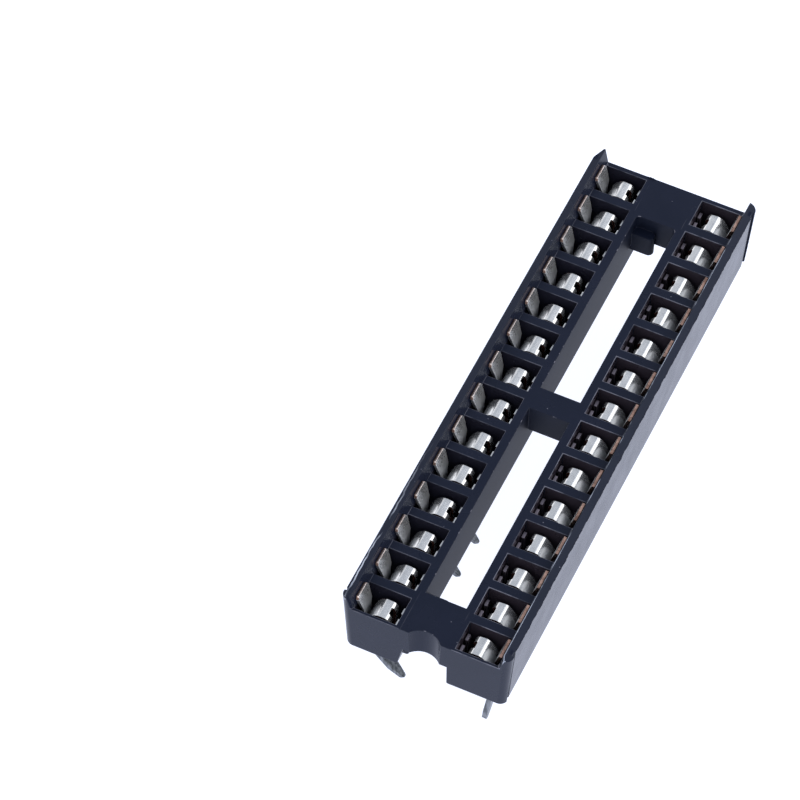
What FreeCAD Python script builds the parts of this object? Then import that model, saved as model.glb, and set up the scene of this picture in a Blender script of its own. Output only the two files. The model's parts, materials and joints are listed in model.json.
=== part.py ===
import FreeCAD, Part
import math
import os

Vector = FreeCAD.Vector

# A dual-in-line chip socket: a moulded housing with two rows of open cells, and in each cell
# a stamped dual-leaf contact whose solder pin goes through the cell's floor.
# X runs across the rows, Y along them with the notched end at -Y, and Z up from the pin tips.
# All sizes are in millimetres.

# Contact pattern
contacts_per_row = 14
pitch = 2.54
row_spacing = 7.62
pin_length = 3.43           # straight pin below the housing's underside

# Housing, across
rail_depth = 3.87           # from the deck down to the underside
cell_reach = 0.56           # from a row's pin axis out to the cell's outer wall
cell_width = 2.58           # across the rail
cell_depth = 2.97
inner_wall = 0.55           # between the cells and the slots
outer_wall = 0.735          # at the corner columns, at the deck
side_recess = 0.07          # the long sides lie this far behind the corner columns
lip_height = 1.0            # crest of the side lip above the deck
lip_lean = 0.25             # the lip's inner face leans out by this much over its height
lip_fall = 0.12             # the lip's top falls by this much towards the outside
draft_deg = 2.8
corner_radius = 0.5
facet_inset = 0.42          # flat facet on the plain end's -X corner, along the end face
facet_length = 0.9          # and along the side
foot_chamfer = 0.07        # on the lower outer edges
foot_bevel = 0.12           # bevel on the rails' lower inner edges
channel_margin = 0.1        # the space under the bridges is wider than the slots, each side
lip_nip_length = 0.35       # facets on the inner corners of the lips' notched ends
lip_nip_width = 0.15

# Housing, along
cell_length = 1.95
end_wall = 0.19             # beyond the first cell of a row, at the notched end
plain_end_extra = 0.12      # the plain end's wall is thicker by this much
end_bridge = 2.86
centre_bridge = 1.6         # in the middle of the housing
bridge_depth = 2.1
slot_corner_radius = 0.25   # at the plain end's bridge

# Half-moon notch that marks the first contact
notch_width = 1.95
notch_depth = 0.5

# Slanted relief in one rail's lower inner corner, beside the notch
relief_width = 0.35
relief_length = 1.0

# Fingers on one rail, under the end bridges
finger_reach = 1.34
finger_width = 0.65
finger_top = 1.0            # below the deck
finger_bottom = 2.5         # below the deck

# Grooves in the long sides, beside the corner columns
groove_inset = 0.62         # from the end face at the deck
groove_width = 0.15
groove_depth = 0.14         # below the corner columns' surface

# Low ribs under the rails, beside the pins, that rest on the board
rib_height = 0.08
rib_width = 0.9
rib_gap = 0.64              # from the row's pin axis in to the rib
rib_end = 0.88              # from the deck's end in to the rib's end

# Contact strip
strip = 0.18
wall_gap = 0.03             # between a contact and the cell's side walls
leaf_rise = 0.55            # top of the flat leaf above the deck
leaf_crown = 1.0            # width of the flat leaf's top edge
leaf_shoulder = 1.3         # widest, a little below its top
leaf_shoulder_drop = 0.2
leaf_waist = 0.9
leaf_waist_depth = 1.2      # below the deck
leaf_set = 0.15             # front of the leaf's lower part, outward of the pin axis
leaf_kink_depth = 0.6       # below the deck, where the leaf starts to lean out
lead_gap = 0.15             # between the flat leaf and the sprung leaf, for a chip's lead
barrel_width = 1.25
barrel_drop = 0.4           # top of the sprung leaf below the deck
barrel_tilt = 0.06          # its top rises by this much towards the leaf
barrel_reach = 1.27         # from its legs out to its point of contact, between centre lines
barrel_top = 0.6            # straight run across its top
contact_depth = 1.56        # middle of its flat contact face below the deck
contact_face = 0.2
toe_drop = 0.52             # the sprung leaf's end below the contact face
toe_return = 0.27
slot_width = 0.45           # window between the sprung leaf's two legs
window_reach = 0.16         # the window runs this far into the leaf's first bend, from the legs
window_corner = 0.05
bend_radius = 0.25          # of the sprung leaf's centre line
prong_gap = 0.06            # between the prongs and the cell's inner wall
prong_drop = 0.65           # top of the prongs below the deck
prong_length = 0.45         # along the row

# Solder pin
pin_thickness = 0.3
pin_width = 0.7
pin_tip_width = 0.3
pin_nose = 0.12             # length of the cut-off tip's slanting corners
pin_taper = 1.1
pin_clearance = 0.05        # along the row, in the cell's floor
pin_hole_margin = 0.3       # the hole is wider than the pin across the row, each side
pin_bend_drop = 0.15        # a bent pin turns this far below the underside
pin_bend_radius = 0.6

# Lean of the pins that are bent in towards the centre, in degrees by contact number
bent_pins = {1: 7.0, 24: 40.0, 25: 40.0, 26: 40.0, 27: 40.0, 28: 41.0}

# Places that follow from the sizes above
underside_z = pin_length
deck_z = underside_z + rail_depth
crest_z = deck_z + lip_height
floor_z = deck_z - cell_depth
bridge_z = deck_z - bridge_depth
row_x = row_spacing / 2
cell_outer = row_x + cell_reach
cell_inner = cell_outer - cell_width
slot_half = cell_inner - inner_wall
deck_half_width = cell_outer + outer_wall
last_contact_y = (contacts_per_row - 1) / 2 * pitch
deck_half_length = last_contact_y + cell_length / 2 + end_wall
plain_end_y = deck_half_length + plain_end_extra
slot_end = deck_half_length - end_bridge
taper = math.tan(math.radians(draft_deg))
over = 0.5                  # cutting shapes run past the faces they cut by this much


def polygon_face(points):
    """Flat face through points given in order."""
    corners = [Vector(*point) for point in points]
    return Part.Face(Part.makePolygon(corners + corners[:1]))


def block(low, high):
    """Box from its lowest to its highest corner."""
    size = [h - l for l, h in zip(low, high)]
    return Part.makeBox(*size, Vector(*low))


def outer_body():
    """Drafted block with rounded corner columns, from the underside to the lips' crests."""
    rings = []
    for z in (underside_z, crest_z):
        x = deck_half_width + taper * (z - deck_z)
        near = -deck_half_length - taper * (z - deck_z)
        far = plain_end_y + taper * (z - deck_z)
        rings.append([(x, near, z), (x, far, z), (-x, far, z), (-x, near, z)])
    low, high = rings
    faces = [polygon_face(low[::-1]), polygon_face(high)]
    for i in range(4):
        j = (i + 1) % 4
        faces.append(polygon_face([low[i], low[j], high[j], high[i]]))
    body = Part.Solid(Part.Shell(faces))
    upright = [edge for edge in body.Edges if edge.BoundBox.ZLength > rail_depth]
    rounded = [edge for edge in upright if edge.CenterOfMass.x > 0 or edge.CenterOfMass.y < 0]
    body = body.makeFillet(corner_radius, rounded).cut(corner_facet())
    feet = [edge for edge in body.Edges if edge.BoundBox.ZMax < underside_z + foot_chamfer]
    return body.makeChamfer(foot_chamfer, feet)


def corner_facet():
    """Cut for the flat facet on the plain end's -X corner, following both faces' draft."""
    low_z = underside_z - over
    shift = taper * (low_z - deck_z)
    side_x = -deck_half_width - shift
    end_y = plain_end_y + shift
    run_on = over * facet_length / facet_inset
    outline = [
        (side_x - over, end_y - facet_length - run_on, low_z),
        (side_x + facet_inset + over, end_y + run_on, low_z),
        (side_x - over, end_y + run_on, low_z),
    ]
    rise = crest_z + over - low_z
    return polygon_face(outline).extrude(Vector(-taper * rise, taper * rise, rise))


def deck_channel():
    """Space above the deck, between the lips and over their sloping tops."""
    crest_x = cell_outer + lip_lean
    far_x = deck_half_width + over
    slope = lip_fall / (deck_half_width + taper * lip_height - crest_x)
    far_z = crest_z - slope * (far_x - crest_x)
    half = [(cell_outer, deck_z), (crest_x, crest_z), (far_x, far_z), (far_x, crest_z + over)]
    start = -deck_half_length - over
    right = [(x, start, z) for x, z in half]
    left = [(-x, start, z) for x, z in reversed(half)]
    return polygon_face(right + left).extrude(Vector(0, -2 * start, 0))


def under_channel():
    """Space between the rails, below the bridges, with bevelled lower edges."""
    start = -deck_half_length - over
    side_x = slot_half + channel_margin
    half = [
        (side_x, bridge_z),
        (side_x, underside_z + foot_bevel),
        (side_x + foot_bevel, underside_z),
        (side_x + foot_bevel, underside_z - over),
    ]
    right = [(x, start, z) for x, z in half]
    left = [(-x, start, z) for x, z in reversed(half)]
    return polygon_face(right + left).extrude(Vector(0, -2 * start, 0))


def slot(side):
    """Opening between the centre bridge and one end bridge, from underside to deck."""
    bridge_edge = plain_end_extra / 2 + side * centre_bridge / 2
    low_y, high_y = sorted([bridge_edge, side * slot_end])
    low = (-slot_half, low_y, underside_z - over)
    opening = block(low, (slot_half, high_y, deck_z + over))
    if side < 0:
        return opening
    upright = [edge for edge in opening.Edges if edge.BoundBox.ZLength > rail_depth]
    corners = [edge for edge in upright if edge.BoundBox.YMin > slot_end - over]
    return opening.makeFillet(slot_corner_radius, corners)


def notch():
    """Half-moon through the bridge at the -Y end, following the end face's draft."""
    radius = (notch_width ** 2 / 4 + notch_depth ** 2) / (2 * notch_depth)
    centre_y = -deck_half_length + notch_depth - radius
    base = Vector(0, centre_y, underside_z - over)
    return Part.makeCylinder(radius, rail_depth + 2 * over, base)


def cell(side, y):
    """One open cell, drafted along the row."""
    draw = taper * cell_depth
    half = cell_length / 2
    top = deck_z + over
    wide = half + taper * over
    start = cell_inner if side > 0 else -cell_outer
    outline = [
        (start, y - wide, top),
        (start, y + wide, top),
        (start, y + half - draw, floor_z),
        (start, y - half + draw, floor_z),
    ]
    return polygon_face(outline).extrude(Vector(cell_width, 0, 0))


def pin_hole(side, y):
    """Hole for one solder pin through a cell's floor."""
    half_x = pin_thickness / 2 + pin_hole_margin
    half_y = pin_width / 2 + pin_clearance
    x = side * row_x
    low = (x - half_x, y - half_y, underside_z - over)
    high = (x + half_x, y + half_y, floor_z + over)
    return block(low, high)


def side_cut(side, y, length, depth):
    """Cut in a long side, sunk to an even depth in the drafted face."""
    z_low = underside_z - over
    z_high = crest_z + over
    outline = []
    for z, reach in ((z_low, 0), (z_high, 0), (z_high, over), (z_low, over)):
        x = deck_half_width + taper * (z - deck_z) - depth + reach
        outline.append((side * x, y, z))
    return polygon_face(outline).extrude(Vector(0, length, 0))


def side_cuts(side):
    """Recessed long side, with an upright groove beside each rounded corner column."""
    near = groove_inset - deck_half_length
    far = plain_end_y - groove_inset
    cuts = [side_cut(side, near, far - near, side_recess)]
    for y in (near, far) if side > 0 else (near,):
        cuts.append(side_cut(side, y - groove_width / 2, groove_width, groove_depth))
    return cuts


def lip_nip(side):
    """Facet on the inner corner of a lip's notched end, leaning out with its inner face."""
    end_y = -deck_half_length - taper * lip_height
    outline = [
        (cell_outer - over, end_y + lip_nip_length),
        (cell_outer, end_y + lip_nip_length),
        (cell_outer + lip_nip_width, end_y),
        (cell_outer + lip_nip_width, end_y - over),
        (cell_outer - over, end_y - over),
    ]
    face = polygon_face([(side * x, y, deck_z) for x, y in outline])
    rise = lip_height + over
    return face.extrude(Vector(side * lip_lean * rise / lip_height, 0, rise))


def rail_relief():
    """Slanted cut in the -X rail's lower inner corner, at the notched end."""
    end_y = -deck_half_length - over
    inner_x = -slot_half - channel_margin
    outline = [
        (inner_x + over, end_y, underside_z - over),
        (inner_x + over, end_y, bridge_z),
        (inner_x, end_y, bridge_z),
        (inner_x - relief_width, end_y, underside_z),
        (inner_x - relief_width, end_y, underside_z - over),
    ]
    return polygon_face(outline).extrude(Vector(0, relief_length + over, 0))


def board_rib(side):
    """Low rib along a rail's underside, inward of its pins."""
    half_y = deck_half_length - rib_end
    xs = sorted([side * (row_x - rib_gap - rib_width), side * (row_x - rib_gap)])
    low = (xs[0], -half_y, underside_z - rib_height)
    high = (xs[1], half_y, underside_z + over)
    return block(low, high)


def finger(end):
    """Round-ended finger from the -X rail, against an end bridge."""
    radius = finger_width / 2
    z = deck_z - finger_bottom
    y_face = slot_end + slot_corner_radius
    y_free = slot_end - finger_width
    root_x = -slot_half - inner_wall / 2
    tip_x = -slot_half + finger_reach
    free = [Vector(root_x, y_face, z), Vector(root_x, y_free, z), Vector(tip_x - radius, y_free, z)]
    round_end = Part.Arc(
        free[-1],
        Vector(tip_x, y_free + radius, z),
        Vector(tip_x - radius, slot_end, z),
    ).toShape()
    back = [Vector(tip_x - radius, slot_end, z), Vector(tip_x - radius, y_face, z), free[0]]
    outline = Part.Wire(Part.makePolygon(free).Edges + [round_end] + Part.makePolygon(back).Edges)
    solid = Part.Face(outline).extrude(Vector(0, 0, finger_bottom - finger_top))
    if end < 0:
        solid = solid.mirror(Vector(0, 0, 0), Vector(0, 1, 0))
    return solid


def row_places():
    """Side and Y of each contact, in the order of the contact numbers."""
    ys = [-last_contact_y + i * pitch for i in range(contacts_per_row)]
    return [(1, y) for y in ys] + [(-1, y) for y in reversed(ys)]


def make_housing():
    """The moulded housing, cut from its outer body."""
    cuts = [deck_channel(), under_channel(), notch(), rail_relief()]
    cuts += [slot(side) for side in (-1, 1)]
    for side, y in row_places():
        cuts.append(cell(side, y))
        cuts.append(pin_hole(side, y))
    for side in (-1, 1):
        cuts += side_cuts(side)
        cuts.append(lip_nip(side))
    body = outer_body().cut(cuts)
    added = [finger(-1), finger(1), board_rib(-1), board_rib(1)]
    return body.fuse(added).removeSplitter()


def strip_section(points, radii, thickness):
    """Section in X and Z of a bent strip along points, each inner corner an arc or, at 0, sharp."""
    path = [Vector(x, 0, z) for x, z in points]
    runs = [(b - a).normalize() for a, b in zip(path, path[1:])]
    edges = []
    ends = []
    for shift in (thickness / 2, -thickness / 2):
        at = path[0] + left_of(runs[0]) * shift
        ends.append(at)
        for corner, before, after, radius in zip(path[1:], runs, runs[1:], radii):
            turn = before.getAngle(after)
            if radius == 0:
                mitre = (left_of(before) + left_of(after)).normalize()
                arc_end = corner + mitre * (shift / math.cos(turn / 2))
                edges.append(Part.makeLine(at, arc_end))
            else:
                hand = 1 if before.cross(after).y < 0 else -1
                reach = radius * math.tan(turn / 2)
                centre = corner - before * reach + left_of(before) * (hand * radius)
                arc_start = corner - before * reach + left_of(before) * shift
                arc_end = corner + after * reach + left_of(after) * shift
                outward = (corner - centre).normalize()
                arc_middle = centre + outward * (radius - hand * shift)
                edges.append(Part.makeLine(at, arc_start))
                edges.append(Part.Arc(arc_start, arc_middle, arc_end).toShape())
            at = arc_end
        end = path[-1] + left_of(runs[-1]) * shift
        edges.append(Part.makeLine(at, end))
        ends.append(end)
    edges.append(Part.makeLine(ends[0], ends[2]))
    edges.append(Part.makeLine(ends[1], ends[3]))
    return Part.Face(Part.Wire(Part.sortEdges(edges)[0]))


def left_of(direction):
    """Direction turned a quarter to the left, seen with X to the right and Z up."""
    return Vector(-direction.z, 0, direction.x)


def across(face, width):
    """Section drawn at Y = 0, made into a solid of a width centred there."""
    face.translate(Vector(0, -width / 2, 0))
    return face.extrude(Vector(0, width, 0))


def leaf_line():
    """Centre line of the flat leaf, from its top down to the cell's floor."""
    half = strip / 2
    top_z = deck_z + leaf_rise
    top_x = cell_outer + lip_lean * leaf_rise / lip_height - wall_gap - half
    lower_x = row_x + leaf_set + half
    return [(top_x, top_z), (lower_x, deck_z - leaf_kink_depth), (lower_x, floor_z + half)]


def flat_leaf():
    """Spade-shaped flat leaf, cut to its outline across the strip."""
    solid = across(strip_section(leaf_line(), [0], strip), leaf_shoulder)
    shoulder_z = deck_z + leaf_rise - leaf_shoulder_drop
    half = [
        (leaf_crown / 2, deck_z + leaf_rise + over),
        (leaf_crown / 2, deck_z + leaf_rise),
        (leaf_shoulder / 2, shoulder_z),
        (leaf_waist / 2, deck_z - leaf_waist_depth),
        (leaf_waist / 2, floor_z - over),
    ]
    right = [(row_x, y, z) for y, z in half]
    left = [(row_x, -y, z) for y, z in reversed(half)]
    outline = polygon_face(right + left).extrude(Vector(cell_reach + lip_lean, 0, 0))
    return solid.common(outline)


def barrel_line():
    """Centre line of the base and the sprung leaf, from the flat leaf's foot to its toe."""
    half = strip / 2
    foot_z = floor_z + half
    leaf_x = leaf_line()[-1][0]
    touch_x = leaf_x - half - lead_gap - half
    leg_x = touch_x - barrel_reach
    top_z = deck_z - barrel_drop - half
    touch_z = deck_z - contact_depth + contact_face / 2
    release_z = touch_z - contact_face
    return [
        (leaf_x, foot_z),
        (leg_x, foot_z),
        (leg_x, top_z - barrel_tilt),
        (leg_x + barrel_top, top_z),
        (touch_x, touch_z),
        (touch_x, release_z),
        (touch_x - toe_return, release_z - toe_drop),
    ]


def sprung_leaf():
    """Base plate and barrel-backed sprung leaf, with a window between its two legs."""
    line = barrel_line()
    bends = [0, bend_radius, bend_radius, 0, 0]
    solid = across(strip_section(line, bends, strip), barrel_width)
    leg_x = line[1][0]
    half = slot_width / 2
    end_x = leg_x + window_reach
    low_z = floor_z + strip
    right = [(leg_x - strip, half), (end_x - window_corner, half), (end_x, half - window_corner)]
    outline = [(x, y, low_z) for x, y in right] + [(x, -y, low_z) for x, y in reversed(right)]
    window = polygon_face(outline).extrude(Vector(0, 0, deck_z - low_z))
    return solid.cut(window)


def prongs():
    """Two upright prongs behind the sprung leaf, on the same base plate."""
    half = strip / 2
    prong_x = cell_inner + prong_gap + half
    foot_z = floor_z + half
    line = [(barrel_line()[1][0] + strip, foot_z), (prong_x, foot_z), (prong_x, deck_z - prong_drop)]
    solid = across(strip_section(line, [0], strip), barrel_width)
    gap_y = barrel_width / 2 - prong_length
    gap = block((cell_inner, -gap_y, floor_z + strip), (prong_x + strip, gap_y, deck_z))
    return solid.cut(gap)


def pin_head(lean_deg, blade_start):
    """Upper part of a solder pin, from the base plate to where the tapered blade starts."""
    lean = math.radians(lean_deg)
    turn_z = underside_z - pin_bend_drop
    end_x = row_x - blade_start * math.sin(lean)
    end_z = turn_z - blade_start * math.cos(lean)
    line = [(row_x, floor_z + strip / 2), (row_x, turn_z), (end_x, end_z)]
    bends = [pin_bend_radius]
    if lean_deg == 0:
        line.pop(1)
        bends = []
    return across(strip_section(line, bends, pin_thickness), pin_width)


def pin_blade(lean_deg, blade_start):
    """Lower part of a solder pin, tapered to a cut-off tip, leaning about the bend."""
    tip_z = pin_bend_drop - pin_length
    half = [
        (pin_width / 2, -blade_start),
        (pin_width / 2, tip_z + pin_taper),
        (pin_tip_width / 2, tip_z + pin_nose),
        (pin_tip_width / 2 - pin_nose / 2, tip_z),
    ]
    right = [(-pin_thickness / 2, y, z) for y, z in half]
    left = [(x, -y, z) for x, y, z in reversed(right)]
    blade = polygon_face(right + left).extrude(Vector(pin_thickness, 0, 0))
    blade.rotate(Vector(0, 0, 0), Vector(0, 1, 0), lean_deg)
    blade.translate(Vector(row_x, 0, underside_z - pin_bend_drop))
    return blade


def solder_pin(lean_deg):
    """Pin down from the base plate, straight or leaning in below the underside."""
    blade_start = pin_bend_radius * math.tan(math.radians(lean_deg) / 2) + strip / 2
    return pin_head(lean_deg, blade_start).fuse(pin_blade(lean_deg, blade_start))


def make_contact(number, side, y):
    """One stamped contact, in its place in the housing."""
    pieces = [sprung_leaf(), prongs(), solder_pin(bent_pins.get(number, 0.0))]
    contact = flat_leaf().fuse(pieces).removeSplitter()
    if side < 0:
        contact = contact.mirror(Vector(0, 0, 0), Vector(1, 0, 0))
    contact.translate(Vector(0, y, 0))
    return contact


def save(shape, name):
    """Write one piece with the housing's middle at Y = 0, if it is one sound solid."""
    if not shape.isValid() or len(shape.Solids) != 1:
        raise RuntimeError(f"{name} is not one sound solid")
    solid = shape.Solids[0]
    solid.translate(Vector(0, -plain_end_extra / 2, 0))
    solid.exportStep(f"parts/{name}.step")


os.makedirs("parts", exist_ok=True)
save(make_housing(), "housing")
for index, (side, y) in enumerate(row_places()):
    number = index + 1
    save(make_contact(number, side, y), f"contact_{number:02d}")
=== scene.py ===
import json
import math

import bmesh
import bpy
from mathutils import Matrix, Vector, noise


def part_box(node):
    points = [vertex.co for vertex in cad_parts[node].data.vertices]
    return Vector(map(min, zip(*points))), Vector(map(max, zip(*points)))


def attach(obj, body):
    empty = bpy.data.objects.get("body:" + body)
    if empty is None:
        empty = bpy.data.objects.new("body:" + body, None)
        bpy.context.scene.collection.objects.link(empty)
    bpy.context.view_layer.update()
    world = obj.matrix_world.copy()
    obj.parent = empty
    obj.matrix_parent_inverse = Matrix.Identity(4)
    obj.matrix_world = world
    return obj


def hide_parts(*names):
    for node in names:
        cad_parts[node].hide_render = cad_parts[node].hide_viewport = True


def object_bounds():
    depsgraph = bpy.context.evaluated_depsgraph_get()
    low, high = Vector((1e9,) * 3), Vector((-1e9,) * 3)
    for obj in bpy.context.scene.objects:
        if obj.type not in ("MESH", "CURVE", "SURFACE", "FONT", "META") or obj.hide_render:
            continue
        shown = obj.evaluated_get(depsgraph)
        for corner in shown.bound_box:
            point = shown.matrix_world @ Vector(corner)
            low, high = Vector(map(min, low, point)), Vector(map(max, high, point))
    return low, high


# A chip socket on a pale light table. X runs across the rows, Y along them with the notched end
# at -Y, Z up. All lengths are in metres.

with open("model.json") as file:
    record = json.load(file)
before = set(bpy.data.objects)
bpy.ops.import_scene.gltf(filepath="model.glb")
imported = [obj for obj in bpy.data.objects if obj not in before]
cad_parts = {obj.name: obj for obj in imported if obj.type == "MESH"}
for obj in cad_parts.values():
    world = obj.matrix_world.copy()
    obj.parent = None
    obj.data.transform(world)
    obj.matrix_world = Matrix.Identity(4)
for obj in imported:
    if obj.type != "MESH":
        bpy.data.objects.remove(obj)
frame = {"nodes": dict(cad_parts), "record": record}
cad_low, cad_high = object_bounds()

MM = 0.001

# Places taken from the frame
MOUNTS = {m["name"]: Vector(m["pos_m"]) for m in frame["record"]["mounts"]}
DECK_Z = MOUNTS["chip_seat"].z
UNDERSIDE_Z = MOUNTS["board_seat"].z
CONTACTS = sorted(name for name in frame["nodes"] if name.startswith("contact_"))
ROW_ENDS = [corner.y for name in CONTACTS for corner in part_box(name)]
PATTERN_Y = (min(ROW_ENDS) + max(ROW_ENDS)) / 2
LEAF_BACK_X, _, LEAF_TOP_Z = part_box(CONTACTS[0])[1]

# Places on the moulding, as distances from its centre planes
SLOT_X = 1.24 * MM            # sides of the long slots
SEAM_X = 1.5 * MM             # mould seams on the end bridges
CELL_X = 1.79 * MM            # inner sides of the open cells
GROOVE_X = 4.6 * MM           # the side grooves lie outside this
SIDE_X = 4.8 * MM             # and the outer sides outside this
LIP_X = 4.85 * MM             # parts a lip's inner top edge from its outer one
SCUFF_X = 4.91 * MM           # long scuff on the -X lip
END_BRIDGE_Y = 14.9 * MM      # the end bridges lie beyond this
INNER_WALL_Y = 17.0 * MM      # the walls inside end before this, and the notch lies beyond it
GROOVE_Y = 17.04 * MM         # the side grooves' edges towards the middle
CELL_WALL_Y = 17.5 * MM       # the cells' walls end inside this
LIP_TOP_Z = DECK_Z + 0.7 * MM  # the lips' tops lie above this
LIP_CREST_Z = DECK_Z + 0.6 * MM  # and the edges along them above this

# Places on the contacts, and their sheet's thickness
PRONG_X = 2.05 * MM           # the prongs lie inside this
LEAF_FRONT_X = 3.94 * MM      # the flat leaves lie outside this, the sprung ones inside it
SHOULDER_Z = LEAF_TOP_Z - 0.22 * MM  # the flat leaves are widest just above this
LEAF_CREST_Z = LEAF_TOP_Z - 0.1 * MM
STRIP = 0.18 * MM

# Centre line of the sprung leaf, as X away from the centre plane and Z: its top run ends in a
# tight bend, and a flat run falls from there to where it touches a chip's lead
TOP_RUN = Vector((0.6, 0.06)).normalized()
TOP_CORNER = Vector((3.05, 6.81)) * MM
TOUCH = Vector((3.72, 5.84)) * MM
BEND_RADIUS = 0.25 * MM
TOUCH_FALL = math.radians(78)  # steepness of the bowed run there
BOW_PULL = 1.3 * MM            # how far each end's direction carries into the bowed run
BOW_CUTS = 10

# Softened edges of the moulding and of the stamped strip
HOUSING_EDGE = 0.035 * MM
CONTACT_EDGE = 0.018 * MM
EDGE_SLOT = 1                 # material index of the rounded edges, where the faces have 0
SLIVER = 0.02 * MM            # shorter edges are closed up first
SHARP_ANGLE = math.radians(25)
COPLANAR_ANGLE = math.radians(0.6)
ON_PLANE = 0.0005 * MM        # a point this near a cut lies on it
GROOVE_WEAR = 0.15 * MM       # the +X grooves' worn edges open them by this much

# Flash on the +X lip, sunk into it by its root, and burr on the plain end
FLASH_REACH = GROOVE_Y - 0.3 * MM
FLASH_STEP = 0.06 * MM
FLASH_ROOT = 0.03 * MM
FLASH_LEAST, FLASH_MOST = 0.004 * MM, 0.062 * MM
FLASH_SWELL, FLASH_NICK = 0.55 * MM, 0.16 * MM  # lengths of its swells and nicks
BURR_X = -1.85 * MM
BURR_LENGTH = 0.6 * MM
BURR_STEP = 0.04 * MM
BURR_RIPPLE = 21              # radians of the ripple along it

# Table and sky, which is bright up to one height above the horizon, as the sine of its elevation,
# and dim from another
TABLE_HALF = 3.0
SKY_RIM = 0.58
SKY_TOP = 0.74
SKY_STRENGTH = 1.55

# Camera, as the fitted view of the deck's centre
VIEW_AZIMUTH = math.radians(23.2516)
VIEW_ELEVATION = math.radians(53.7414)
VIEW_ROLL = math.radians(2.1232)
VIEW_DISTANCE = 274.533 * MM
VIEW_RIGHT = 8.805 * MM       # the deck's centre lies this far right of the picture's centre
VIEW_UP = -0.333 * MM
LENS_MM = 216.641
SENSOR_MM = 36.0
CLIP_NEAR, CLIP_FAR = 0.01, 20.0

# Colour sockets of Blender's Mix node
MIX_A, MIX_B, MIX_RESULT = 6, 7, 2


class Nodes:
    """Short hand for one material's node tree, with the place and facing of what it colours."""

    def __init__(self, name):
        self.material = bpy.data.materials.new(name)
        self.material.use_nodes = True
        self.tree = self.material.node_tree
        self.tree.nodes.clear()
        self.shader = self.add("ShaderNodeBsdfPrincipled")
        output = self.add("ShaderNodeOutputMaterial")
        self.tree.links.new(self.shader.outputs["BSDF"], output.inputs["Surface"])
        self.place = self.add("ShaderNodeTexCoord").outputs["Object"]
        self.x, self.y, self.z = self.axes(self.place)
        self.across, self.along = self.size(self.x), self.size(self.y)
        normal = self.add("ShaderNodeNewGeometry").outputs["True Normal"]
        self.faces_x, self.faces_y, self.faces_z = self.axes(normal)

    def add(self, kind, settings=(), **inputs):
        node = self.tree.nodes.new(kind)
        for key, value in dict(settings).items():
            setattr(node, key, value)
        for key, value in inputs.items():
            self.set(node.inputs[key.replace("_", " ")], value)
        return node

    def set(self, socket, value):
        if isinstance(value, bpy.types.NodeSocket):
            self.tree.links.new(value, socket)
        else:
            socket.default_value = value

    def axes(self, vector):
        return self.add("ShaderNodeSeparateXYZ", Vector=vector).outputs

    def math(self, operation, a, b=0.0):
        node = self.add("ShaderNodeMath", {"operation": operation})
        self.set(node.inputs[0], a)
        self.set(node.inputs[1], b)
        return node.outputs[0]

    def size(self, value):
        """A value without its sign."""
        return self.math("ABSOLUTE", value)

    def above(self, value, limit):
        return self.math("GREATER_THAN", value, limit)

    def below(self, value, limit):
        return self.math("LESS_THAN", value, limit)

    def near(self, value, middle, reach):
        """One where a value is within reach of a middle one."""
        return self.below(self.size(self.math("SUBTRACT", value, middle)), reach)

    def both(self, first, *others):
        for other in others:
            first = self.math("MULTIPLY", first, other)
        return first

    def either(self, first, *others):
        for other in others:
            first = self.math("MAXIMUM", first, other)
        return first

    def noise(self, per_mm, stretch=(1, 1, 1), detail=3.0, rough=0.55):
        """Noise with so many features to a millimetre, drawn out where stretch is small."""
        scaled = self.add("ShaderNodeMapping", Vector=self.place, Scale=stretch)
        texture = self.add(
            "ShaderNodeTexNoise",
            Vector=scaled.outputs[0],
            Scale=per_mm / MM,
            Detail=detail,
            Roughness=rough,
        )
        return texture.outputs["Fac"]

    def specks(self, per_mm, radius_mm):
        """One inside small round specks scattered through space."""
        texture = self.add("ShaderNodeTexVoronoi", Vector=self.place, Scale=per_mm / MM)
        return self.below(texture.outputs["Distance"], per_mm * radius_mm)

    def span(self, value, low, high, to_low=0.0, to_high=1.0):
        """Value moved from one range to another, held at its ends."""
        node = self.add("ShaderNodeMapRange", {"clamp": True}, Value=value)
        for key, number in (("From Min", low), ("From Max", high)):
            self.set(node.inputs[key], number)
        for key, number in (("To Min", to_low), ("To Max", to_high)):
            self.set(node.inputs[key], number)
        return node.outputs[0]

    def mix(self, share, a, b):
        """One colour where share is 0 and the other where it is 1."""
        node = self.add("ShaderNodeMix", {"data_type": "RGBA"}, Factor=share)
        self.set(node.inputs[MIX_A], a)
        self.set(node.inputs[MIX_B], b)
        return node.outputs[MIX_RESULT]

    def bump(self, height, distance, strength=1.0, under=None):
        """Normal of a relief, on top of another normal where one is given."""
        node = self.add("ShaderNodeBump", Height=height, Distance=distance, Strength=strength)
        if under is not None:
            self.set(node.inputs["Normal"], under)
        return node.outputs["Normal"]

    def finish(self, **inputs):
        for key, value in inputs.items():
            self.set(self.shader.inputs[key.replace("_", " ")], value)
        return self.material


def finish_plastic(n, colour, roughness):
    """Shared gloss, waves and grain of the moulding compound."""
    waves = n.bump(n.noise(0.35, (1, 0.4, 1), 1.0), 0.012 * MM, 0.3)
    return n.finish(
        Base_Color=colour,
        Roughness=roughness,
        Normal=n.bump(n.noise(7.0, detail=2.0), 0.0006 * MM, 0.2, waves),
        IOR=1.5,
        Specular_IOR_Level=0.145,
        Specular_Tint=(0.80, 0.88, 1.0, 1.0),
    )


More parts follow.
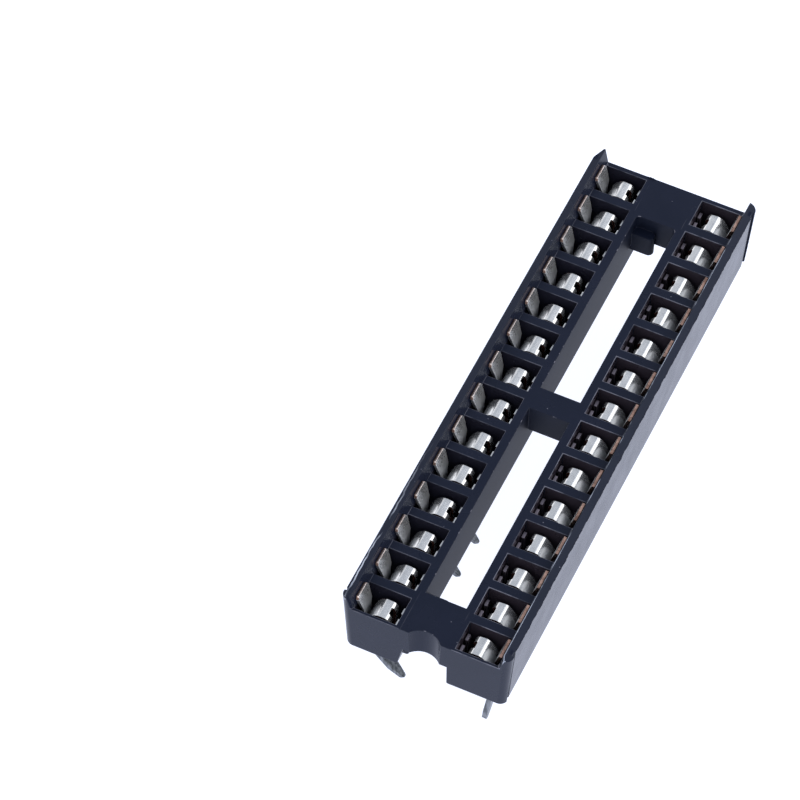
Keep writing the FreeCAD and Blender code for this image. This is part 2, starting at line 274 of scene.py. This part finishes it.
def seams_and_dust(n, colour):
    """Patchy mould seams across the end bridges, and dust on whatever faces up."""
    level = n.above(n.faces_z, 0.9)
    seam = n.both(level, n.near(n.across, SEAM_X, 0.018 * MM), n.above(n.along, END_BRIDGE_Y))
    patchy = n.span(n.noise(0.8, (1, 0.5, 1), 4.0), 0.48, 0.6)
    colour = n.mix(n.both(seam, patchy), colour, (0.035, 0.037, 0.055, 1))
    return n.mix(n.both(level, n.specks(1.2, 0.035)), colour, (0.11, 0.115, 0.15, 1))


def cell_walls_painted_fill(n, colour):
    """Walls in the cells painted lighter and greyer as painted fill light, and lighter and warmer still
    along the +X row.
    """
    wall = n.both(n.above(n.across, SLOT_X + 0.3 * MM), n.below(n.across, GROOVE_X))
    wall = n.both(wall, n.below(n.along, CELL_WALL_Y), n.below(n.z, DECK_Z - 0.05 * MM))
    colour = n.mix(wall, colour, (0.014, 0.014, 0.024, 1))
    return n.mix(n.both(wall, n.above(n.x, 0)), colour, (0.027, 0.022, 0.031, 1))


def lip_scuff(n, colour):
    """One long broken scuff that wanders along the -X lip's top, plainest at the notched end."""
    wander = n.span(n.noise(0.8, detail=2.0), 0.3, 0.7, -0.07 * MM, 0.07 * MM)
    line = n.near(n.math("ADD", n.x, wander), -SCUFF_X, 0.04 * MM)
    dashes = n.span(n.noise(1.1, (1, 0.3, 1), 4.0, 0.6), 0.42, 0.56)
    near_end = n.span(n.y, -14 * MM, -6 * MM, 1.0, 0.0)
    scuffed = n.both(n.above(n.z, LIP_TOP_Z), line, dashes, near_end)
    return n.mix(scuffed, colour, (0.42, 0.46, 0.56, 1))


def housing_plastic():
    """Black moulding compound, faintly blue: satin outside, dull in the slots and grooves."""
    n = Nodes("housing_plastic")
    clouds = n.span(n.noise(0.35, detail=4.0), 0.35, 0.65)
    colour = n.mix(clouds, (0.0075, 0.0105, 0.023, 1), (0.0095, 0.0125, 0.027, 1))
    # The cells' walls carry painted fill light, lighter than the rest of the moulding.
    colour = lip_scuff(n, cell_walls_painted_fill(n, seams_and_dust(n, colour)))
    upright = n.below(n.size(n.faces_z), 0.3)
    in_slots = n.both(upright, n.below(n.across, SLOT_X + 0.2 * MM), n.below(n.along, INNER_WALL_Y))
    groove = n.both(n.above(n.across, SIDE_X), n.near(n.along, GROOVE_Y - 0.02 * MM, 0.17 * MM))
    satin = n.span(n.noise(0.5, detail=4.0), 0.3, 0.7, 0.23, 0.29)
    dull = n.math("MULTIPLY", in_slots, 0.5)
    return finish_plastic(n, colour, n.either(satin, dull, groove))


def deck_highlights_and_dots(n, colour):
    """Painted highlights as pale lines on the edges round the cells, fainter on the -X rail, and pale
    dots along the slots.
    """
    at_deck = n.near(n.z, DECK_Z, 0.1 * MM)
    by_cells = n.both(at_deck, n.above(n.across, CELL_X - 0.2 * MM), n.below(n.across, GROOVE_X))
    patches = n.span(n.noise(0.9, (1, 0.6, 1), 4.0), 0.38, 0.58, 0.15, 1.0)
    # The -X rail's lines are painted fainter, as weaker highlights away from the light.
    strength = n.span(n.below(n.x, 0), 0, 1, 1.0, 0.55)
    colour = n.mix(n.both(by_cells, patches, strength), colour, (0.15, 0.155, 0.20, 1))
    by_slots = n.both(at_deck, n.below(n.across, CELL_X - 0.2 * MM))
    dots = n.span(n.noise(3.0, detail=3.0), 0.6, 0.68)
    return n.mix(n.both(by_slots, dots), colour, (0.16, 0.16, 0.2, 1))


def housing_edges():
    """Rounded edges of the moulding: painted highlights as pale lines on the deck, scuffs along the
    lips.
    """
    n = Nodes("housing_edges")
    colour = deck_highlights_and_dots(n, (0.011, 0.014, 0.027, 1))
    dashes = n.span(n.noise(0.9, (1, 0.4, 1), 5.0, 0.65), 0.45, 0.57)
    right_inner = n.both(n.above(n.x, 0), n.below(n.x, LIP_X))
    left_outer = n.both(n.below(n.x, -LIP_X), n.span(n.y, -17 * MM, -4 * MM, 1.0, 0.25))
    scuffs = n.both(n.above(n.z, LIP_CREST_Z), dashes, n.either(right_inner, left_outer))
    colour = n.mix(scuffs, colour, (0.36, 0.40, 0.50, 1))
    return finish_plastic(n, colour, n.span(scuffs, 0, 1, 0.3, 0.6))


def strip_tone(n, pin, leaf, barrel, prong):
    """Tin's colour, streaked on the pins; bare copper alloy on the sheared edges, darkened as painted
    shade on the leaves' crests and the +X row's sheared leaf faces; a painted highlight on the -X row's
    leaf crests; darker grey on the +X prongs.
    """
    clouds = n.noise(2.2, detail=4.0)
    patches = n.span(clouds, 0.35, 0.65)
    plate = n.mix(n.span(clouds, 0.3, 0.7), (0.60, 0.61, 0.63, 1), (0.70, 0.71, 0.73, 1))
    streaks = n.span(n.noise(6.0, (1, 1, 0.12), 3.0), 0.4, 0.62)
    tarnish = n.mix(streaks, (0.07, 0.08, 0.09, 1), (0.20, 0.215, 0.24, 1))
    copper = n.mix(patches, (0.26, 0.10, 0.08, 1), (0.38, 0.18, 0.15, 1))
    # Darker bare copper as painted shade on the sheared leaf faces and crests.
    shaded_copper = n.mix(patches, (0.10, 0.06, 0.05, 1), (0.22, 0.145, 0.125, 1))
    # Painted highlight on the -X row's leaf crests.
    painted_crest_highlight = n.mix(patches, (0.66, 0.54, 0.51, 1), (0.80, 0.72, 0.70, 1))
    side = n.above(n.size(n.faces_y), 0.9)
    # Sheared leaf faces are bare copper above the shoulder; on the +X row all of them take the painted
    # shade.
    bare_or_shaded = n.either(n.above(n.z, SHOULDER_Z), n.above(n.x, 0))
    cut = n.both(leaf, n.below(n.size(n.faces_x), 0.5), bare_or_shaded)
    crest = n.both(n.above(n.z, LEAF_CREST_Z), n.above(n.faces_z, 0.35))
    front = n.below(n.across, LEAF_BACK_X - STRIP / 2)
    tone = n.mix(pin, plate, tarnish)
    tone = n.mix(n.both(side, barrel), tone, copper)
    tone = n.mix(n.either(cut, crest), tone, shaded_copper)
    tone = n.mix(n.both(crest, front, n.below(n.x, 0)), tone, painted_crest_highlight)
    return n.mix(prong, tone, (0.20, 0.18, 0.22, 1))


def drawing_lines(n):
    """Roughness with fine lines, upright where the strip is and along the row elsewhere."""
    upright = n.above(n.size(n.faces_x), 0.8)
    drawn = n.noise(12.0, (1, 1, 0.05), 3.0)
    rolled = n.noise(12.0, (1, 0.05, 1), 3.0)
    lines = n.math("ADD", n.both(drawn, upright), n.both(rolled, n.math("SUBTRACT", 1.0, upright)))
    return n.span(lines, 0.3, 0.7, 0.20, 0.23)


def tin_plate():
    """Satin tin plate on the bright barrels, rubbed duller on the leaves, pins and +X prongs."""
    n = Nodes("tin_plate")
    pin = n.below(n.z, UNDERSIDE_Z)
    above_board = n.above(n.z, UNDERSIDE_Z)
    leaf = n.both(n.above(n.across, LEAF_FRONT_X), above_board)
    barrel = n.both(n.below(n.across, LEAF_FRONT_X), above_board)
    prong = n.both(barrel, n.above(n.x, 0), n.below(n.across, PRONG_X))
    scratches = n.span(n.noise(12.0, (1, 1, 0.06), 3.0, 0.6), 0.42, 0.62, 0.0, 0.07)
    wiped = n.span(n.z, DECK_Z - 0.9 * MM, DECK_Z + 0.2 * MM, 0.16, 0.02)
    rubbed = n.both(n.either(leaf, pin, prong), n.math("ADD", scratches, wiped))
    return n.finish(
        Base_Color=strip_tone(n, pin, leaf, barrel, prong),
        Metallic=0.86,
        Roughness=n.math("ADD", drawing_lines(n), rubbed),
        Normal=n.bump(scratches, 0.001 * MM, 0.15),
    )


def light_table():
    """White table top, lit from below."""
    n = Nodes("light_table")
    tone = n.span(n.noise(0.02, detail=2.0), 0.3, 0.7)
    return n.finish(
        Base_Color=n.mix(tone, (0.25, 0.28, 0.35, 1), (0.27, 0.30, 0.37, 1)),
        Roughness=0.7,
        Emission_Color=(0.83, 0.86, 1.0, 1),
        Emission_Strength=1.06,
    )


def soften(bm, width):
    """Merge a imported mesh's faces, then round its sharp edges with faces of their own material."""
    bmesh.ops.dissolve_limit(
        bm, angle_limit=COPLANAR_ANGLE, verts=bm.verts, edges=bm.edges, delimit={"NORMAL"}
    )
    sharp = [
        e for e in bm.edges if len(e.link_faces) == 2 and e.calc_face_angle(0) > SHARP_ANGLE
    ]
    bmesh.ops.bevel(
        bm,
        geom=sharp,
        offset=width,
        offset_type="OFFSET",
        segments=2,
        profile=0.5,
        affect="EDGES",
        clamp_overlap=False,
        material=EDGE_SLOT,
    )


def open_grooves(bm):
    """Draw the +X side grooves' middle edges back along the row."""
    for v in bm.verts:
        if v.co.x > GROOVE_X and abs(abs(v.co.y) - GROOVE_Y) < 0.01 * MM:
            v.co.y -= math.copysign(GROOVE_WEAR, v.co.y)


def left_of(direction):
    return Vector((-direction.y, direction.x))


def bowed_run(start, u):
    """Point and outward direction at share u of the bowed outer run, a cubic that ends at TOUCH."""
    leave = TOP_RUN * BOW_PULL
    arrive = Vector((math.cos(TOUCH_FALL), -math.sin(TOUCH_FALL))) * BOW_PULL
    point = (
        start * (2 * u**3 - 3 * u**2 + 1)
        + leave * (u**3 - 2 * u**2 + u)
        + TOUCH * (3 * u**2 - 2 * u**3)
        + arrive * (u**3 - u**2)
    )
    way = (
        (start - TOUCH) * (6 * u**2 - 6 * u)
        + leave * (3 * u**2 - 4 * u + 1)
        + arrive * (3 * u**2 - 2 * u)
    )
    return point, left_of(way.normalized())


def bow_sprung_leaf(bm):
    """Make one even curve of the sprung leaf's tight outer bend and the flat run below it."""
    side = math.copysign(1, sum(v.co.x for v in bm.verts))
    fall = (TOUCH - TOP_CORNER).normalized()
    turn = TOP_RUN.angle(fall)
    reach = BEND_RADIUS * math.tan(turn / 2)
    start = TOP_CORNER - TOP_RUN * reach
    bend_end = TOP_CORNER + fall * reach
    centre = start - left_of(TOP_RUN) * BEND_RADIUS
    bend_length = BEND_RADIUS * turn
    length = bend_length + (TOUCH - bend_end).length
    for i in range(1, BOW_CUTS):
        cut = bend_end.lerp(TOUCH, i / BOW_CUTS)
        bmesh.ops.bisect_plane(
            bm,
            geom=[*bm.verts, *bm.edges, *bm.faces],
            dist=ON_PLANE,
            plane_co=(side * cut.x, 0, cut.y),
            plane_no=(side * fall.x, 0, fall.y),
        )
    for v in bm.verts:
        spot = Vector((side * v.co.x, v.co.z))
        down = (spot - bend_end).dot(fall)
        if down >= 0:
            way = bend_length + down
            out = (spot - bend_end).dot(left_of(fall))
        else:
            arm = spot - centre
            way = BEND_RADIUS * math.atan2(arm.dot(TOP_RUN), arm.dot(left_of(TOP_RUN)))
            out = arm.length - BEND_RADIUS
        # Only the strip's own points on that stretch move, and none where a lead is touched
        if 0 < way < length - STRIP / 4 and abs(out) < STRIP * 0.6:
            point, outward = bowed_run(start, way / length)
            spot = point + outward * out
            v.co.x, v.co.z = side * spot.x, spot.y


def even_normals(mesh):
    """Shade the faces by their own directions, and each rounded edge from one face's to the next's."""
    sums = [[Vector(), Vector()] for v in mesh.vertices]
    for face in mesh.polygons:
        for i in face.vertices:
            sums[i][face.material_index] += face.normal * face.area
    normals = [own if own.length > 0 else rounded for own, rounded in sums]
    mesh.normals_split_custom_set_from_vertices([n.normalized() for n in normals])


def add_piece(name, mesh):
    """Link a mesh as a piece of the object."""
    mesh.shade_smooth()
    piece = bpy.data.objects.new(name, mesh)
    bpy.context.scene.collection.objects.link(piece)
    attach(piece, "root")
    return piece


def skin(node, name, width, materials, reshape):
    """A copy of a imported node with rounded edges, which stands for it."""
    mesh = frame["nodes"][node].data.copy()
    mesh.name = name
    mesh.materials.clear()
    for material in materials:
        mesh.materials.append(material)
    bm = bmesh.new()
    bm.from_mesh(mesh)
    bmesh.ops.remove_doubles(bm, verts=bm.verts, dist=SLIVER)
    reshape(bm)
    soften(bm, width)
    bm.to_mesh(mesh)
    bm.free()
    piece = add_piece(name, mesh)
    even_normals(mesh)
    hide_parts(node)


def ragged(name, start, end, step, section, material):
    """Sliver of flash from start to end, with its section given by the share of the way."""
    count = max(2, round((end - start).length / step))
    bm = bmesh.new()
    rings = []
    for i in range(count + 1):
        at = start.lerp(end, i / count)
        rings.append([bm.verts.new(at + offset) for offset in section(i / count)])
    for near, far in zip(rings, rings[1:]):
        for i in range(len(near)):
            j = (i + 1) % len(near)
            bm.faces.new((near[i], near[j], far[j], far[i]))
    bm.faces.new(rings[0][::-1])
    bm.faces.new(rings[-1])
    bmesh.ops.recalc_face_normals(bm, faces=bm.faces)
    mesh = bpy.data.meshes.new(name)
    bm.to_mesh(mesh)
    bm.free()
    mesh.materials.append(material)
    add_piece(name, mesh)


def lip_flash(material):
    """Ragged flash along the +X lip's outer top edge, within the corner columns' reach."""
    inside = [v.co for v in frame["nodes"]["housing"].data.vertices if abs(v.co.y) <= GROOVE_Y]
    edge = max((p for p in inside if p.z > LIP_TOP_Z), key=lambda p: p.x)
    start = Vector((edge.x, -FLASH_REACH, edge.z))
    end = Vector((edge.x, FLASH_REACH, edge.z))

    def section(share):
        y = start.lerp(end, share).y
        swell = noise.noise(Vector((0, y / FLASH_SWELL, 0)))
        nick = noise.noise(Vector((5, y / FLASH_NICK, 0)))
        out = (0.026 + 0.045 * swell + 0.022 * nick) * MM
        out = min(FLASH_MOST, max(FLASH_LEAST, out))
        return [
            Vector((-FLASH_ROOT, 0, 0.004 * MM)),
            Vector((out, 0, -0.004 * MM)),
            Vector((out * 0.6, 0, -0.025 * MM)),
            Vector((-FLASH_ROOT, 0, -0.07 * MM)),
        ]

    ragged("lip_flash", start, end, FLASH_STEP, section, material)


def deck_burr(material):
    """Low burr on the deck's plain end edge."""
    start = Vector((BURR_X, cad_high.y - 0.1 * MM, DECK_Z - 0.02 * MM))
    end = start + Vector((BURR_LENGTH, 0, 0))

    def section(share):
        rise = math.sin(math.pi * share) ** 0.6
        high = (0.02 + 0.10 * rise + 0.02 * math.sin(BURR_RIPPLE * share)) * MM
        return [
            Vector((0, -0.09 * MM, 0)),
            Vector((0, -0.03 * MM, high)),
            Vector((0, 0.01 * MM, high * 0.8)),
            Vector((0, 0.03 * MM, 0)),
        ]

    ragged("deck_burr", start, end, BURR_STEP, section, material)


def make_table():
    half = TABLE_HALF
    corners = [(-half, -half, 0), (half, -half, 0), (half, half, 0), (-half, half, 0)]
    mesh = bpy.data.meshes.new("table_top")
    mesh.from_pydata(corners, [], [(0, 1, 2, 3)])
    mesh.materials.append(light_table())
    table = bpy.data.objects.new("table_top", mesh)
    table.location.z = cad_low.z
    bpy.context.scene.collection.objects.link(table)


def softbox(name, azimuth, elevation, distance, size, power, tone):
    """Square area light aimed at the deck, azimuth 0 from +Y and 90 from +X."""
    a, e = math.radians(azimuth), math.radians(elevation)
    way = Vector((math.sin(a) * math.cos(e), math.cos(a) * math.cos(e), math.sin(e)))
    light = bpy.data.lights.new(name, "AREA")
    light.size = size
    light.energy = power
    light.color = tone
    lamp = bpy.data.objects.new(name, light)
    lamp.location = Vector((0, 0, DECK_Z)) + way * distance
    lamp.rotation_euler = (-way).to_track_quat("-Z", "Y").to_euler()
    bpy.context.scene.collection.objects.link(lamp)


def make_sky():
    """Soft white sky round the horizon, dimmer overhead."""
    world = bpy.data.worlds.new("studio")
    world.use_nodes = True
    tree = world.node_tree
    background = tree.nodes["Background"]
    way = tree.nodes.new("ShaderNodeTexCoord")
    height = tree.nodes.new("ShaderNodeSeparateXYZ")
    ramp = tree.nodes.new("ShaderNodeValToRGB")
    tree.links.new(way.outputs["Generated"], height.inputs[0])
    tree.links.new(height.outputs["Z"], ramp.inputs["Fac"])
    tree.links.new(ramp.outputs["Color"], background.inputs["Color"])
    rim, top = ramp.color_ramp.elements
    rim.position = SKY_RIM
    rim.color = (1.0, 1.0, 1.0, 1)
    top.position = SKY_TOP
    top.color = (0.36, 0.385, 0.43, 1)
    background.inputs["Strength"].default_value = SKY_STRENGTH
    bpy.context.scene.world = world


def make_camera():
    a, e = VIEW_AZIMUTH, VIEW_ELEVATION
    forward = Vector((-math.sin(a) * math.cos(e), math.cos(a) * math.cos(e), -math.sin(e)))
    level = Vector((math.cos(a), math.sin(a), 0))
    upright = level.cross(forward)
    right = math.cos(VIEW_ROLL) * level + math.sin(VIEW_ROLL) * upright
    up = math.cos(VIEW_ROLL) * upright - math.sin(VIEW_ROLL) * level
    aim = Vector((0, PATTERN_Y, DECK_Z)) - VIEW_RIGHT * right - VIEW_UP * up
    turn = Matrix((right, up, -forward)).transposed()
    data = bpy.data.cameras.new("camera")
    data.lens = LENS_MM
    data.sensor_width = SENSOR_MM
    data.clip_start = CLIP_NEAR
    data.clip_end = CLIP_FAR
    camera = bpy.data.objects.new("camera", data)
    camera.matrix_world = Matrix.Translation(aim - VIEW_DISTANCE * forward) @ turn.to_4x4()
    bpy.context.scene.collection.objects.link(camera)
    bpy.context.scene.camera = camera


def main():
    bpy.context.scene.view_settings.view_transform = "Standard"
    body = housing_plastic()
    moulding = (body, housing_edges())
    skin("housing", "moulded_housing", HOUSING_EDGE, moulding, open_grooves)
    lip_flash(body)
    deck_burr(body)
    plate = tin_plate()
    metal = (plate, plate)
    for node in CONTACTS:
        skin(node, "stamped_" + node, CONTACT_EDGE, metal, bow_sprung_leaf)
    make_table()
    make_sky()
    softbox("key", azimuth=40, elevation=38, distance=0.5, size=0.45, power=1.0, tone=(1.0, 0.98, 0.96))
    make_camera()


main()
